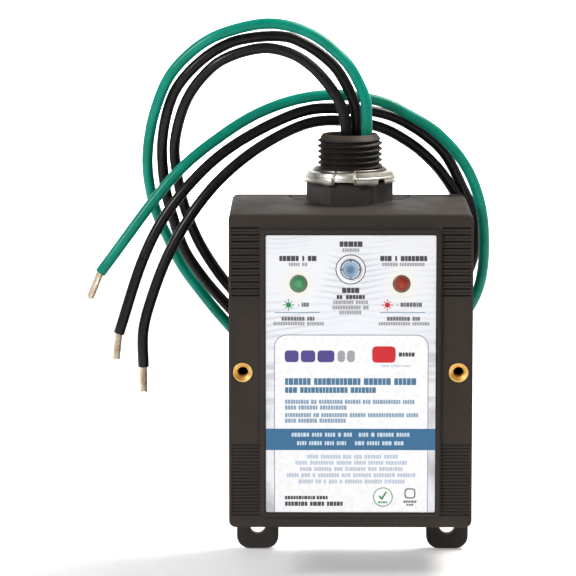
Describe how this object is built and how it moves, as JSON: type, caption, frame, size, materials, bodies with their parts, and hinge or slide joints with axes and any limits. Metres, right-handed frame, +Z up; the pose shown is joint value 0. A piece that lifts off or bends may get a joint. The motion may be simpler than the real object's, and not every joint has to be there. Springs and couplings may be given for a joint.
{
  "type": "whole house surge protector",
  "caption": "Boxed surge protector with status lamps, a silence button, a threaded conduit nipple with locknut, mounting ears and free connection leads.",
  "frame": {"origin": "on the nipple's axis, on top of its hex, in the plane where the panel's wall is clamped", "axes": "+Z up along the nipple, -Y out of the label, +X to the label's right"},
  "size_m": [0.133, 0.0673, 0.1785],
  "materials": {
    "housing_plastic": "fine matte texture",
    "nipple_plastic": "moulded satin",
    "seal_rubber": "matte",
    "zinc_plate": "zinc plated, satin",
    "insert_brass": "machined",
    "screw_steel": "machined",
    "label_film": "printed film, semi-gloss",
    "button_plastic": "smooth",
    "green_lens": "diffused epoxy",
    "red_lens": "diffused epoxy",
    "green_insulation": "extruded, glossy",
    "black_insulation": "extruded, glossy",
    "tinned_copper": "tinned strands",
    "board_laminate": "solder mask",
    "varistor_epoxy": "dipped epoxy",
    "component_ceramic": "glazed",
    "component_black": "moulded",
    "potting_compound": "cast, matte"
  },
  "bodies": {
    "surge_protector": {"black_a_inner_lead": "black_insulation", "black_a_lead": "black_insulation", "black_a_stripped_end": "tinned_copper", "black_a_terminal": "screw_steel", "black_b_inner_lead": "black_insulation", "black_b_lead": "black_insulation", "black_b_stripped_end": "tinned_copper", "black_b_terminal": "screw_steel", "board_screw_1": "screw_steel", "board_screw_2": "screw_steel", "board_screw_3": "screw_steel", "board_screw_4": "screw_steel", "brass_insert_left": "insert_brass", "brass_insert_right": "insert_brass", "circuit_board": "board_laminate", "conduit_nipple": "nipple_plastic", "cover_gasket": "seal_rubber", "cover_screw_1": "screw_steel", "cover_screw_2": "screw_steel", "cover_screw_3": "screw_steel", "cover_screw_4": "screw_steel", "filter_capacitor": "component_black", "front_housing": "housing_plastic", "gas_discharge_tube": "component_ceramic", "green_inner_lead": "green_insulation", "green_lead": "green_insulation", "green_led": "green_lens", "green_stripped_end": "tinned_copper", "green_terminal": "screw_steel", "label_overlay": "label_film", "lead_seal_plug": "potting_compound", "led_resistor_1": "component_ceramic", "led_resistor_2": "component_ceramic", "nipple_gasket": "seal_rubber", "piezo_buzzer": "component_black", "rear_cover": "housing_plastic", "red_led": "red_lens", "retaining_nut": "nipple_plastic", "tactile_switch": "component_black", "thermal_fuse": "component_ceramic", "varistor_1": "varistor_epoxy", "varistor_2": "varistor_epoxy", "varistor_3": "varistor_epoxy"},
    "sealing_washer": {"sealing_washer": "seal_rubber"},
    "locknut": {"locknut": "zinc_plate"},
    "silence_button": {"silence_button": "button_plastic"}
  },
  "joints": [
    {"name": "locknut_travel", "type": "slide", "parent": "surge_protector", "child": "sealing_washer", "axis": [0, 0, 1], "range_m": [0, 0.0109]},
    {"name": "locknut_turn", "type": "hinge", "parent": "sealing_washer", "child": "locknut", "pos_m": [0, 0, 0], "axis": [0, 0, 1], "range_deg": [0, 2160]},
    {"name": "button_press", "type": "slide", "parent": "surge_protector", "child": "silence_button", "axis": [0, 1, 0], "range_m": [0, 0.0006], "stiffness_N_per_m": 400, "springref_m": -0.003}
  ],
  "couplings": [
    {"joint": "locknut_travel", "follows": "locknut_turn", "m_per_rad": 0.00028871}
  ]
}
